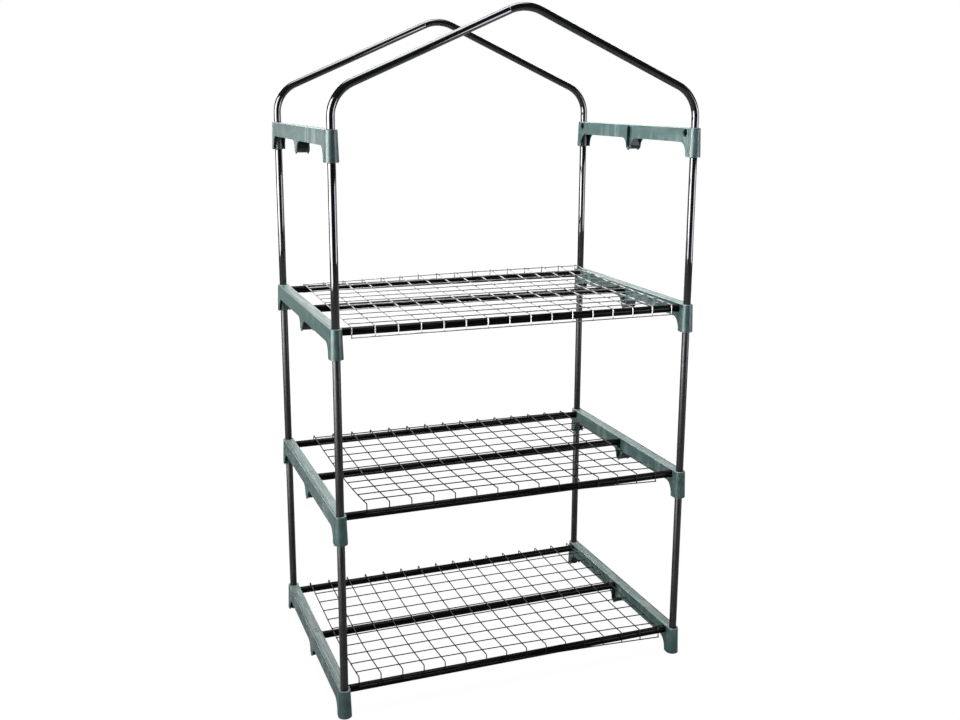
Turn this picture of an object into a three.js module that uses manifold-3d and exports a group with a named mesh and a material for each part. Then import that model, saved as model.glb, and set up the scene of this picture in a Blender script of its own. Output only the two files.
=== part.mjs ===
// A portable greenhouse frame: four posts of short tubes pushed into moulded side connectors, two bent
// roof arches, and three shelves of welded wire mesh that lie on shelf rails.
// Millimetres, +Z up, +X to the right, -Y to the front. The origin is the middle of the footprint, on the
// ground.
import * as THREE from "three";
import { mergeVertices } from "three/addons/utils/BufferGeometryUtils.js";
import Module from "manifold-3d";

const wasm = await Module();
wasm.setup();

// Layout of the frame, between the centre lines of the posts
const POST_SPACING_X = 666;
const POST_SPACING_Y = 460;
const LOWER_BAY_PITCH = 327;
const TOP_BAY_PITCH = 323;

// Tubes of the frame
const TUBE_DIAMETER = 14;
const TUBE_WALL = 1;
const TUBE_SIDES = 12;

// Clearances of the push fits, all round a tube and at its end
const FIT_GAP = 0.35;
const REST_GAP = 0.3;

// Roof arches
const APEX_RISE = 199;
const ROOF_SLOPE = THREE.MathUtils.degToRad(24);
const EAVES_BEND_RADIUS = 61;
const EAVES_BEND_STEPS = 5;
const APEX_BEND_RADIUS = 72;
const APEX_BEND_STEPS = 4;
const SPIGOT_LENGTH = 25;
const SPIGOT_WALL = 1;
const SPIGOT_COLLAR_LENGTH = 4;

// Side connectors: a channel, open below, with a socket for the posts at each end
const CONNECTOR_HEIGHT = 52;
const SOCKET_STOP = 8;
const SOCKET_WALL = 1.85;
const SOCKET_COVER = 1.5;
const SIDE_DRAFT = 1.7;
const CHANNEL_WALL = 2;
const CHANNEL_WEB = 1.8;
const SIDE_WALL_DEPTH = 26;
const HAUNCH_LENGTH = 20;
const HAUNCH_FOOT = 1;
const HAUNCH_INSET = 10;
const ARC_STEPS = 4;
const END_STEPS = 8;

// Seats of the shelf rails in the connectors
const SEAT_ROOF = 1.9;
const SEAT_PARTITION = 0.8;
const SEAT_WALL = 2.15;
const RAIL_STOP_INSET = 4.5;

// Middle slot of the connectors: the rail's seat above, a spare seat below and a pair of nubs between them
const SPARE_SEAT_RISE = 13.8;
const NUB_RISE = 27;
const NUB_HEIGHT = 4;
const NUB_REACH = 1.1;
const TAB_TIP_RISE = 2;
const TAB_TIP_HEIGHT = 5.5;
const TAB_FLARE = 18.5;
const GROOVE_WIDTH = 3;
const GROOVE_DEPTH = 0.6;

// Wire mesh shelves
const WIRE_WIDTH = 2.2;
const WIRE_HEIGHT = 2.2;
const MESH_CELL = 40.6;
const MESH_SIDE_GAP = 16;
const LIP_CLEARANCE = 0.8;
const LIP_DEPTH = 18;

// How each mesh lies: sprung onto its outer rails, with its edges standing above them towards one end, and
// racked to the right from front to rear. Each pair of shares is for the left end and the right end.
const RIDE_UP = 15.5;
const FRONT_RIDE_SHARES = { bottom: [1, 0], middle: [0.87, 0.13], top: [0, 0] };
const REAR_RIDE_SHARES = { bottom: [0.13, 0.13], middle: [0.29, 0.1], top: [0.06, 0.74] };
const RACK = 12;
const RACK_SHARES = { bottom: 0.5, middle: 0.25, top: 1 };

// How far a cutting shape runs past the face that it cuts
const OVERRUN = 3;

// Sizes that follow
const TUBE_RADIUS = TUBE_DIAMETER / 2;
const TUBE_BORE_RADIUS = TUBE_RADIUS - TUBE_WALL;
const SEAT_RADIUS = TUBE_RADIUS + FIT_GAP;
const SOCKET_RADIUS = SEAT_RADIUS + SOCKET_WALL;
const CHANNEL_TOP_HALF = SOCKET_RADIUS + SOCKET_COVER;
const POST_X = POST_SPACING_X / 2;
const POST_Y = POST_SPACING_Y / 2;
const SOCKET_DEPTH = (CONNECTOR_HEIGHT - SOCKET_STOP) / 2;
const RAIL_RISE = CONNECTOR_HEIGHT - SEAT_ROOF - SEAT_RADIUS;
const OUTER_RAIL_Y = POST_Y - 2 * SEAT_RADIUS - SEAT_PARTITION;
const LEVELS = ["bottom", "middle", "top", "eaves"];
const BAY_PITCHES = [LOWER_BAY_PITCH, LOWER_BAY_PITCH, TOP_BAY_PITCH];
const LEVEL_RISES = [0];
for (const pitch of BAY_PITCHES) LEVEL_RISES.push(LEVEL_RISES.at(-1) + pitch);
const SHELF_LEVELS = LEVELS.slice(0, BAY_PITCHES.length);
const SIDES = { left: -1, right: 1 };
const ENDS = { front: -1, rear: 1 };

// Finishes
const GLOSS_ENAMEL = { color: 0x18211e, roughness: 0.18, metalness: 0.15 };
const SATIN_ENAMEL = { color: 0x20282a, roughness: 0.42, metalness: 0.1 };
const RAIL_ENAMEL = { color: 0x141a18, roughness: 0.3, metalness: 0.1 };
const CONNECTOR_PLASTIC = { color: 0x4d7f73, roughness: 0.45, metalness: 0 };
const BARE_WIRE = { color: 0x6f7470, roughness: 0.35, metalness: 0.7 };

// A closed three.js geometry as a solid that can be joined and cut.
function solidOf(geometry) {
  const bare = geometry.clone();
  bare.deleteAttribute("normal");
  bare.deleteAttribute("uv");
  const merged = mergeVertices(bare);
  const vertProperties = merged.attributes.position.array;
  const triVerts = new Uint32Array(merged.index.array);
  return new wasm.Manifold(new wasm.Mesh({ numProp: 3, vertProperties, triVerts }));
}

// A solid as a flat-shaded three.js geometry.
function geometryOf(solid) {
  const { vertProperties, triVerts } = solid.getMesh();
  const shared = new THREE.BufferGeometry();
  shared.setAttribute("position", new THREE.BufferAttribute(vertProperties, 3));
  shared.setIndex(new THREE.BufferAttribute(triVerts, 1));
  const flat = shared.toNonIndexed();
  flat.computeVertexNormals();
  return flat;
}

// Points of an ellipse's arc about a centre, from one angle to another.
function arcPoints(centre, radiusX, radiusY, fromAngle, toAngle, steps) {
  const points = [];
  for (let step = 0; step <= steps; step += 1) {
    const angle = fromAngle + ((toAngle - fromAngle) * step) / steps;
    const x = centre.x + radiusX * Math.cos(angle);
    const y = centre.y + radiusY * Math.sin(angle);
    points.push(new THREE.Vector2(x, y));
  }
  return points;
}

// A regular outline with a corner on each axis.
function polygonPoints(radius, centre = new THREE.Vector2()) {
  return arcPoints(centre, radius, radius, 0, 2 * Math.PI, TUBE_SIDES).slice(0, TUBE_SIDES);
}

// The section of a hollow tube.
function ringShape(outerRadius, innerRadius) {
  const shape = new THREE.Shape(polygonPoints(outerRadius));
  shape.holes.push(new THREE.Path(polygonPoints(innerRadius)));
  return shape;
}

// A prism of an outline drawn in X and Y, between two heights.
function uprightPrism(shape, fromZ, toZ) {
  const geometry = new THREE.ExtrudeGeometry(shape, { depth: toZ - fromZ, bevelEnabled: false });
  return geometry.translate(0, 0, fromZ);
}

// A prism of an outline drawn in Y and Z, between two places along X.
function crosswisePrism(shape, fromX, toX) {
  const geometry = new THREE.ExtrudeGeometry(shape, { depth: toX - fromX, bevelEnabled: false });
  const alongX = new THREE.Vector3(1, 0, 0);
  const alongY = new THREE.Vector3(0, 1, 0);
  const alongZ = new THREE.Vector3(0, 0, 1);
  geometry.applyMatrix4(new THREE.Matrix4().makeBasis(alongY, alongZ, alongX));
  return geometry.translate(fromX, 0, 0);
}

// A block whose outline changes evenly from its lower face to its upper face.
function taperedPrism(lower, upper, fromZ, toZ) {
  const count = lower.length;
  const corners = [];
  for (const point of lower) corners.push(point.x, point.y, fromZ);
  for (const point of upper) corners.push(point.x, point.y, toZ);
  const faces = [];
  for (const [a, b, c] of THREE.ShapeUtils.triangulateShape(lower, [])) {
    faces.push(c, b, a);
    faces.push(a + count, b + count, c + count);
  }
  for (let corner = 0; corner < count; corner += 1) {
    const next = (corner + 1) % count;
    faces.push(corner, next, next + count);
    faces.push(corner, next + count, corner + count);
  }
  const geometry = new THREE.BufferGeometry();
  geometry.setAttribute("position", new THREE.Float32BufferAttribute(corners, 3));
  geometry.setIndex(faces);
  return geometry;
}

// Half the width of a connector at a height above its foot: its sides lean outwards towards the foot.
function connectorHalfWidth(height) {
  return CHANNEL_TOP_HALF + SIDE_DRAFT * (1 - height / CONNECTOR_HEIGHT);
}

// A connector's plan: straight sides and a half circle round each post.
function roundEndedPlan(halfWidth) {
  const front = new THREE.Vector2(0, -POST_Y);
  const rear = new THREE.Vector2(0, POST_Y);
  return [
    ...arcPoints(front, halfWidth, halfWidth, Math.PI, 2 * Math.PI, END_STEPS),
    ...arcPoints(rear, halfWidth, halfWidth, 0, Math.PI, END_STEPS),
  ];
}

// A block that follows a connector's leaning sides, set in from them, between two places along Y.
function channelBlock(inset, fromY, toY, fromZ, toZ) {
  const plan = (halfWidth) => [
    new THREE.Vector2(-halfWidth, fromY),
    new THREE.Vector2(halfWidth, fromY),
    new THREE.Vector2(halfWidth, toY),
    new THREE.Vector2(-halfWidth, toY),
  ];
  const lower = plan(connectorHalfWidth(fromZ) - inset);
  const upper = plan(connectorHalfWidth(toZ) - inset);
  return taperedPrism(lower, upper, fromZ, toZ);
}

// The space under a connector's side walls, seen from the side: haunches at the ends, a pointed tab midway.
function underWallShape() {
  const edge = CONNECTOR_HEIGHT - SIDE_WALL_DEPTH;
  const haunchEnd = POST_Y - HAUNCH_INSET;
  const tabHalf = SEAT_RADIUS + SEAT_WALL;
  const shoulder = TAB_TIP_RISE + TAB_TIP_HEIGHT;
  const haunchCentre = new THREE.Vector2(haunchEnd - HAUNCH_LENGTH, HAUNCH_FOOT);
  const flareCentre = new THREE.Vector2(tabHalf + TAB_FLARE, shoulder);
  const half = [
    new THREE.Vector2(haunchEnd, -OVERRUN),
    ...arcPoints(haunchCentre, HAUNCH_LENGTH, edge - HAUNCH_FOOT, 0, Math.PI / 2, ARC_STEPS),
    ...arcPoints(flareCentre, TAB_FLARE, edge - shoulder, Math.PI / 2, Math.PI, ARC_STEPS),
  ];
  const tip = new THREE.Vector2(0, TAB_TIP_RISE);
  const otherHalf = half.map((point) => new THREE.Vector2(-point.x, point.y)).reverse();
  return new THREE.Shape([...half, tip, ...otherHalf]);
}

// The middle slot: a rail's seat at the top, a spare seat at the foot, and nubs between them.
function slotShape() {
  const spare = new THREE.Vector2(0, SPARE_SEAT_RISE);
  const seat = new THREE.Vector2(0, RAIL_RISE);
  const halfSides = TUBE_SIDES / 2;
  const nubHalf = NUB_HEIGHT / 2;
  const rightNub = [
    new THREE.Vector2(SEAT_RADIUS, NUB_RISE - nubHalf),
    new THREE.Vector2(SEAT_RADIUS - NUB_REACH, NUB_RISE),
    new THREE.Vector2(SEAT_RADIUS, NUB_RISE + nubHalf),
  ];
  const leftNub = rightNub.map((point) => new THREE.Vector2(-point.x, point.y)).reverse();
  return new THREE.Shape([
    ...arcPoints(spare, SEAT_RADIUS, SEAT_RADIUS, Math.PI, 2 * Math.PI, halfSides),
    ...rightNub,
    ...arcPoints(seat, SEAT_RADIUS, SEAT_RADIUS, 0, Math.PI, halfSides),
    ...leftNub,
  ]);
}

// The outline of the sleeve round the middle slot, seen from the side, with a round foot below the spare seat.
function sleeveShape(halfWidth, foot, top) {
  return new THREE.Shape([
    ...arcPoints(foot, halfWidth, halfWidth, Math.PI, 2 * Math.PI, TUBE_SIDES / 2),
    new THREE.Vector2(halfWidth, top),
    new THREE.Vector2(-halfWidth, top),
  ]);
}

// The connector of the left side, with its foot at height zero and the greenhouse towards +X.
function connectorGeometry() {
  const outline = taperedPrism(
    roundEndedPlan(connectorHalfWidth(0)),
    roundEndedPlan(connectorHalfWidth(CONNECTOR_HEIGHT)),
    0,
    CONNECTOR_HEIGHT,
  );
  const reach = connectorHalfWidth(-OVERRUN) + OVERRUN;
  const roof = CONNECTOR_HEIGHT - CHANNEL_WEB;
  let body = solidOf(outline);
  body = body.subtract(solidOf(channelBlock(CHANNEL_WALL, -POST_Y, POST_Y, -OVERRUN, roof)));
  body = body.subtract(solidOf(crosswisePrism(underWallShape(), -reach, reach)));

  const halfWall = CHANNEL_WALL / 2;
  const sleeveHalf = SEAT_RADIUS + SEAT_WALL;
  const webMiddle = CONNECTOR_HEIGHT - CHANNEL_WEB / 2;
  const bossFoot = RAIL_RISE - SEAT_RADIUS - SEAT_WALL;
  const spare = new THREE.Vector2(0, SPARE_SEAT_RISE);
  const sleeveOutline = sleeveShape(sleeveHalf, spare, CONNECTOR_HEIGHT);
  const sleeveBlock = channelBlock(halfWall, -sleeveHalf - OVERRUN, sleeveHalf + OVERRUN, 0, webMiddle);
  body = body.add(solidOf(sleeveBlock).intersect(solidOf(crosswisePrism(sleeveOutline, -reach, reach))));
  for (const end of Object.values(ENDS)) {
    const socket = new THREE.CylinderGeometry(SOCKET_RADIUS, SOCKET_RADIUS, CONNECTOR_HEIGHT, 2 * END_STEPS);
    socket.rotateX(Math.PI / 2).translate(0, end * POST_Y, CONNECTOR_HEIGHT / 2);
    const innerY = end * (OUTER_RAIL_Y - SEAT_RADIUS - SEAT_WALL);
    const nearY = Math.min(innerY, end * POST_Y);
    const farY = Math.max(innerY, end * POST_Y);
    body = body.add(solidOf(socket));
    body = body.add(solidOf(channelBlock(halfWall, nearY, farY, bossFoot, webMiddle)));
  }

  body = body.subtract(solidOf(crosswisePrism(slotShape(), RAIL_STOP_INSET, reach)));
  for (const end of Object.values(ENDS)) {
    const post = new THREE.Vector2(0, end * POST_Y);
    const bore = new THREE.Shape(polygonPoints(SEAT_RADIUS, post));
    const rail = new THREE.Vector2(end * OUTER_RAIL_Y, RAIL_RISE);
    const seat = new THREE.Shape(polygonPoints(SEAT_RADIUS, rail));
    body = body.subtract(solidOf(uprightPrism(bore, -OVERRUN, SOCKET_DEPTH)));
    body = body.subtract(
      solidOf(uprightPrism(bore, CONNECTOR_HEIGHT - SOCKET_DEPTH, CONNECTOR_HEIGHT + OVERRUN)),
    );
    body = body.subtract(solidOf(crosswisePrism(seat, RAIL_STOP_INSET, reach)));
  }
  const groove = new THREE.BoxGeometry(2 * reach, GROOVE_WIDTH, 2 * GROOVE_DEPTH);
  groove.translate(0, 0, CONNECTOR_HEIGHT);
  return geometryOf(body.subtract(solidOf(groove)));
}

// A path whose stations lie only where a bent tube starts, ends or turns.
class BentTubePath extends THREE.Curve {
  constructor(stations) {
    super();
    this.stations = stations;
  }

  stationAt(share) {
    return this.stations[Math.round(share * (this.stations.length - 1))];
  }

  getPointAt(share, target = new THREE.Vector3()) {
    return target.copy(this.stationAt(share).point);
  }

  getTangentAt(share, target = new THREE.Vector3()) {
    return target.copy(this.stationAt(share).tangent);
  }
}

// A point of a path in the arch's plane with its direction, on the right side or mirrored to the left.
function stationOf(side, x, z, alongX, alongZ) {
  const point = new THREE.Vector3(side * x, 0, z);
  const tangent = new THREE.Vector3(side * alongX, 0, alongZ).normalize();
  return { point, tangent };
}

// Stations of a bend about a centre, anticlockwise on the right side.
function bendStations(side, centreX, centreZ, radius, fromAngle, toAngle, steps) {
  const stations = [];
  for (const { x, y } of arcPoints(new THREE.Vector2(), 1, 1, fromAngle, toAngle, steps)) {
    stations.push(stationOf(side, centreX + radius * x, centreZ + radius * y, -y, x));
  }
  return stations;
}

// The arch's leg, its bend at the eaves and where they lie, from the foot of the arch's own frame.
const ARCH_LEG_FOOT = REST_GAP - SOCKET_DEPTH;
const APEX_CENTRE_Z = APEX_RISE - APEX_BEND_RADIUS;
const SLOPE_ANGLE_FROM_AXIS = Math.PI / 2 - ROOF_SLOPE;
const SLOPE_FOOT_X = POST_X - EAVES_BEND_RADIUS * (1 - Math.sin(ROOF_SLOPE));
const SLOPE_HEAD_X = APEX_BEND_RADIUS * Math.sin(ROOF_SLOPE);
const SLOPE_HEAD_Z = APEX_CENTRE_Z + APEX_BEND_RADIUS * Math.cos(ROOF_SLOPE);
const SLOPE_FOOT_Z = SLOPE_HEAD_Z - (SLOPE_FOOT_X - SLOPE_HEAD_X) * Math.tan(ROOF_SLOPE);
const EAVES_CENTRE_Z = SLOPE_FOOT_Z - EAVES_BEND_RADIUS * Math.cos(ROOF_SLOPE);

// A leg and its bend at the eaves, from the socket up to the foot of the roof slope.
function legStations(side) {
  const centreX = POST_X - EAVES_BEND_RADIUS;
  const turn = [0, SLOPE_ANGLE_FROM_AXIS, EAVES_BEND_STEPS];
  return [
    stationOf(side, POST_X, ARCH_LEG_FOOT, 0, 1),
    ...bendStations(side, centreX, EAVES_CENTRE_Z, EAVES_BEND_RADIUS, ...turn),
  ];
}

// A hollow tube along a path.
function bentTubeGeometry(stations) {
  const section = ringShape(TUBE_RADIUS, TUBE_BORE_RADIUS);
  const extrudePath = new BentTubePath(stations);
  return new THREE.ExtrudeGeometry(section, { steps: stations.length - 1, extrudePath });
}

// The left tube of an arch, which ends open in the roof slope, where the right tube's spigot enters it.
function leftArchGeometry() {
  const slopeX = Math.cos(ROOF_SLOPE);
  const slopeZ = Math.sin(ROOF_SLOPE);
  const headX = SLOPE_HEAD_X + REST_GAP * slopeX;
  const headZ = SLOPE_HEAD_Z - REST_GAP * slopeZ;
  const head = stationOf(SIDES.left, headX, headZ, -slopeX, slopeZ);
  return geometryOf(solidOf(bentTubeGeometry([...legStations(SIDES.left), head])));
}

// The right tube of an arch, which turns over the apex and ends in a spigot of a smaller section.
function rightArchGeometry() {
  const turn = [SLOPE_ANGLE_FROM_AXIS, Math.PI - SLOPE_ANGLE_FROM_AXIS, APEX_BEND_STEPS];
  const apex = bendStations(SIDES.right, 0, APEX_CENTRE_Z, APEX_BEND_RADIUS, ...turn);
  const tube = solidOf(bentTubeGeometry([...legStations(SIDES.right), ...apex]));
  const spigotRadius = TUBE_BORE_RADIUS - FIT_GAP;
  const spigotBore = spigotRadius - SPIGOT_WALL;
  const collarRadius = TUBE_RADIUS - TUBE_WALL / 2;
  const profile = [
    new THREE.Vector2(spigotBore, -SPIGOT_COLLAR_LENGTH),
    new THREE.Vector2(collarRadius, -SPIGOT_COLLAR_LENGTH),
    new THREE.Vector2(collarRadius, -REST_GAP),
    new THREE.Vector2(spigotRadius, -REST_GAP),
    new THREE.Vector2(spigotRadius, SPIGOT_LENGTH),
    new THREE.Vector2(spigotBore, SPIGOT_LENGTH),
    new THREE.Vector2(spigotBore, -SPIGOT_COLLAR_LENGTH),
  ];
  const spigot = new THREE.LatheGeometry(profile, TUBE_SIDES);
  const { point, tangent } = apex.at(-1);
  const turned = new THREE.Quaternion().setFromUnitVectors(new THREE.Vector3(0, 1, 0), tangent);
  spigot.applyQuaternion(turned).translate(point.x, point.y, point.z);
  return geometryOf(tube.add(solidOf(spigot)));
}

// Adds the flat corners of one face, in order, as a fan of triangles.
function addFace(triangles, first, second, ...others) {
  let previous = second;
  for (const corner of others) {
    triangles.push(first, previous, corner);
    previous = corner;
  }
}

// Where a shelf's mesh bends down in front of and behind the outer rails, measured on its underside.
const LIP_Y = OUTER_RAIL_Y + TUBE_RADIUS + LIP_CLEARANCE;

// A place on the mesh as a point: across it, along its underside from the middle, and out from that side.
// Past a bend the underside runs down, facing the rail.
function onMesh(across, along, out) {
  const beyond = Math.abs(along) - LIP_Y;
  if (beyond < 0) return new THREE.Vector3(across, along, out);
  const height = beyond > 0 ? -beyond : out;
  return new THREE.Vector3(across, Math.sign(along) * (LIP_Y + out), height);
}

// The stations along a mesh, from its front edge to its rear edge: each crossing wire and each bend.
function meshStations() {
  const rowsPerSide = Math.floor((LIP_Y - WIRE_WIDTH) / MESH_CELL);
  const half = WIRE_WIDTH / 2;
  const stations = [];
  const addWire = (along) => stations.push({ along, near: along - half, far: along + half, wire: true });
  const addBend = (along) => stations.push({ along, near: along, far: along, wire: false });
  addWire(-LIP_Y - LIP_DEPTH);
  addBend(-LIP_Y);
  for (let row = -rowsPerSide; row <= rowsPerSide; row += 1) addWire(row * MESH_CELL);
  addBend(LIP_Y);
  addWire(LIP_Y + LIP_DEPTH);
  return stations;
}

// One stretch of a front-to-rear wire between two stations. A wire has three sides, with the flat one down.
function addLongStretch(triangles, across, from, to) {
  const half = WIRE_WIDTH / 2;
  const leftFrom = onMesh(across - half, from.far, 0);
  const leftTo = onMesh(across - half, to.near, 0);
  const rightFrom = onMesh(across + half, from.far, 0);
  const rightTo = onMesh(across + half, to.near, 0);
  const ridgeFrom = onMesh(across, from.along, WIRE_HEIGHT);
  const ridgeTo = onMesh(across, to.along, WIRE_HEIGHT);
  addFace(triangles, leftFrom, leftTo, rightTo, rightFrom);
  addFace(triangles, leftTo, leftFrom, ridgeFrom, ridgeTo);
  addFace(triangles, rightFrom, rightTo, ridgeTo, ridgeFrom);
}

// One stretch of a crossing wire between two front-to-rear wires.
function addCrossStretch(triangles, station, fromAcross, toAcross) {
  const half = WIRE_WIDTH / 2;
  const nearFrom = onMesh(fromAcross + half, station.near, 0);
  const nearTo = onMesh(toAcross - half, station.near, 0);
  const farFrom = onMesh(fromAcross + half, station.far, 0);
  const farTo = onMesh(toAcross - half, station.far, 0);
  const ridgeFrom = onMesh(fromAcross, station.along, WIRE_HEIGHT);
  const ridgeTo = onMesh(toAcross, station.along, WIRE_HEIGHT);
  addFace(triangles, nearFrom, farFrom, farTo, nearTo);
  addFace(triangles, nearFrom, nearTo, ridgeTo, ridgeFrom);
  addFace(triangles, farTo, farFrom, ridgeFrom, ridgeTo);
}

// The weld where two wires cross, closed on each side where no wire goes on.
function addWeld(triangles, across, station, open) {
  const half = WIRE_WIDTH / 2;
  const nearLeft = onMesh(across - half, station.near, 0);
  const nearRight = onMesh(across + half, station.near, 0);
  const farLeft = onMesh(across - half, station.far, 0);
  const farRight = onMesh(across + half, station.far, 0);
  const ridge = onMesh(across, station.along, WIRE_HEIGHT);
  addFace(triangles, nearLeft, farLeft, farRight, nearRight);
  if (open.left) addFace(triangles, farLeft, nearLeft, ridge);
  if (open.right) addFace(triangles, nearRight, farRight, ridge);
  if (open.front) addFace(triangles, nearLeft, nearRight, ridge);
  if (open.rear) addFace(triangles, farRight, farLeft, ridge);
}

// How far an edge of a mesh stands above its rail at a share of its width from the left.
function edgeRide(fromLeft, [leftShare, rightShare]) {
  const fromHighEnd = leftShare > rightShare ? fromLeft : 1 - fromLeft;
  const lowShare = Math.min(leftShare, rightShare);
  return RIDE_UP * (lowShare + Math.abs(leftShare - rightShare) * (1 - fromHighEnd ** 2));
}

// A point of a flat, square mesh where it lies once the mesh is bowed from its middle rail and racked.
function laidPoint(point, width, level) {
  const reach = THREE.MathUtils.clamp(point.y / LIP_Y, -1, 1);
  const edgeShares = reach < 0 ? FRONT_RIDE_SHARES[level] : REAR_RIDE_SHARES[level];
  const ride = edgeRide(point.x / width + 0.5, edgeShares) * reach ** 2;
  const rack = (RACK * RACK_SHARES[level] * (1 + reach)) / 2;
  return new THREE.Vector3(point.x + rack, point.y, point.z + ride);
}

// A shelf of square welded mesh, as many cells wide as asked, with its underside at height zero over the
// middle rail.
function meshGeometry(cells, level) {
  const stations = meshStations();
  const columns = [];
  for (let column = 0; column <= cells; column += 1) columns.push((column - cells / 2) * MESH_CELL);
  const triangles = [];
  columns.forEach((across, column) => {
    stations.forEach((station, index) => {
      const next = stations[index + 1];
      if (next) addLongStretch(triangles, across, station, next);
      if (!station.wire) return;
      if (column < cells) addCrossStretch(triangles, station, across, columns[column + 1]);
      const open = { left: column === 0, right: column === cells, front: index === 0, rear: !next };
      addWeld(triangles, across, station, open);
    });
  });
  const laid = triangles.map((point) => laidPoint(point, cells * MESH_CELL, level));
  const geometry = new THREE.BufferGeometry().setFromPoints(laid);
  geometry.computeVertexNormals();
  return geometry;
}

// A named mesh of its own, at a place.
function placed(name, geometry, finish, x, y, z) {
  const mesh = new THREE.Mesh(geometry, new THREE.MeshStandardMaterial(finish));
  mesh.name = name;
  mesh.position.set(x, y, z);
  return mesh;
}

// The eight side connectors: the same moulding at each level, turned half round on the right.
function connectors() {
  const group = new THREE.Group();
  const geometry = connectorGeometry();
  LEVELS.forEach((level, index) => {
    for (const [sideName, side] of Object.entries(SIDES)) {
      const name = `connector_${sideName}_${level}`;
      const mesh = placed(name, geometry, CONNECTOR_PLASTIC, side * POST_X, 0, LEVEL_RISES[index]);
      mesh.rotation.z = side > 0 ? Math.PI : 0;
      group.add(mesh);
    }
  });
  return group;
}

// The twelve uprights: a short tube at each corner of each bay, down to the stops of its two sockets.
function uprights() {
  const group = new THREE.Group();
  const section = ringShape(TUBE_RADIUS, TUBE_BORE_RADIUS);
  SHELF_LEVELS.forEach((level, bay) => {
    const foot = CONNECTOR_HEIGHT - SOCKET_DEPTH + REST_GAP;
    const head = BAY_PITCHES[bay] + SOCKET_DEPTH - REST_GAP;
    const geometry = uprightPrism(section, foot, head);
    const finish = level === "top" ? GLOSS_ENAMEL : SATIN_ENAMEL;
    for (const [sideName, side] of Object.entries(SIDES)) {
      for (const [endName, end] of Object.entries(ENDS)) {
        const name = `upright_${endName}_${sideName}_${level}`;
        group.add(placed(name, geometry, finish, side * POST_X, end * POST_Y, LEVEL_RISES[bay]));
      }
    }
  });
  return group;
}

// The nine shelf rails: three tubes under each shelf, from the stop in one connector to the other's.
function shelfRails() {
  const group = new THREE.Group();
  const reach = POST_X - RAIL_STOP_INSET - REST_GAP;
  const geometry = crosswisePrism(ringShape(TUBE_RADIUS, TUBE_BORE_RADIUS), -reach, reach);
  const places = { front: -OUTER_RAIL_Y, centre: 0, rear: OUTER_RAIL_Y };
  SHELF_LEVELS.forEach((level, index) => {
    for (const [place, y] of Object.entries(places)) {
      const name = `shelf_rail_${place}_${level}`;
      group.add(placed(name, geometry, RAIL_ENAMEL, 0, y, LEVEL_RISES[index] + RAIL_RISE));
    }
  });
  return group;
}

// The two roof arches, each of a left and a right tube, standing in the upper sockets at the eaves.
function arches() {
  const group = new THREE.Group();
  const halves = { left: leftArchGeometry(), right: rightArchGeometry() };
  const springing = LEVEL_RISES.at(-1) + CONNECTOR_HEIGHT;
  for (const [endName, end] of Object.entries(ENDS)) {
    for (const [sideName, geometry] of Object.entries(halves)) {
      const name = `arch_${endName}_${sideName}`;
      group.add(placed(name, geometry, GLOSS_ENAMEL, 0, end * POST_Y, springing));
    }
  }
  return group;
}

// The three mesh shelves, laid on their rails. The middle one is a cell narrower than the others.
function meshShelves() {
  const group = new THREE.Group();
  const clearWidth = 2 * (POST_X - CHANNEL_TOP_HALF - MESH_SIDE_GAP);
  const cells = Math.floor(clearWidth / MESH_CELL);
  const railTop = RAIL_RISE + TUBE_RADIUS + REST_GAP;
  SHELF_LEVELS.forEach((level, index) => {
    const geometry = meshGeometry(level === "middle" ? cells - 1 : cells, level);
    group.add(placed(`mesh_shelf_${level}`, geometry, BARE_WIRE, 0, 0, LEVEL_RISES[index] + railTop));
  });
  return group;
}

const greenhouse = new THREE.Group();
greenhouse.add(connectors(), uprights(), shelfRails(), arches(), meshShelves());

export default greenhouse;
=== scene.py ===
"""The looks of a portable greenhouse frame: enamelled push-fit tubes, moulded side connectors and welded mesh.

Metres, +Z up, +X to the right, -Y to the front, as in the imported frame. Every place is worked out from the
frame's own boxes.
"""

import enum
import logging
import math
from collections.abc import Sequence
from dataclasses import dataclass, field
from itertools import pairwise

import bmesh
import bpy
from mathutils import Matrix, Vector


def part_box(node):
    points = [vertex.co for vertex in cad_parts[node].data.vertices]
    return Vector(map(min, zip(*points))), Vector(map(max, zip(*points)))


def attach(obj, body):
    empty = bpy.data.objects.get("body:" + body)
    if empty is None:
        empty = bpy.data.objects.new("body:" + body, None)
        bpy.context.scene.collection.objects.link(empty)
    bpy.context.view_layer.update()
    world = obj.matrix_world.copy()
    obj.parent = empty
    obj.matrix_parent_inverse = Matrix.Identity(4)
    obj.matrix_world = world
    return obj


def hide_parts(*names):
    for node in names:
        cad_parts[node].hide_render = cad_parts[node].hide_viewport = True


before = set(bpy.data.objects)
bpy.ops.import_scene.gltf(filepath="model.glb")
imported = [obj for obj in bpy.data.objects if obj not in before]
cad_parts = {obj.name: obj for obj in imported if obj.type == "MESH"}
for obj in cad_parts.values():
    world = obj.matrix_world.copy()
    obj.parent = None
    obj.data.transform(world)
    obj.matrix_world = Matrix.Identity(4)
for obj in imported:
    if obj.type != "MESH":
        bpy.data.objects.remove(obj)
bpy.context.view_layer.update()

LOG = logging.getLogger("greenhouse")
MM = 0.001

Colour = tuple[float, float, float]
Socket = bpy.types.NodeSocket
BMesh = bmesh.types.BMesh

WHITE = (1.0, 1.0, 1.0)
UPRIGHT = Matrix.Identity(4)
ALONG_X = Matrix.Rotation(math.pi / 2, 4, "Y")
# How near two coordinates are when they are the same
SAME = 1e-6


class Side(enum.Enum):
    """The two sides of the greenhouse, as the sign of X."""

    LEFT = -1
    RIGHT = 1


class End(enum.Enum):
    """The two ends of a side connector, as the sign of Y."""

    FRONT = -1
    REAR = 1


class Level(enum.Enum):
    """The heights at which side connectors sit."""

    BOTTOM = "bottom"
    MIDDLE = "middle"
    TOP = "top"
    EAVES = "eaves"


SHELF_LEVELS = (Level.BOTTOM, Level.MIDDLE, Level.TOP)


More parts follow.
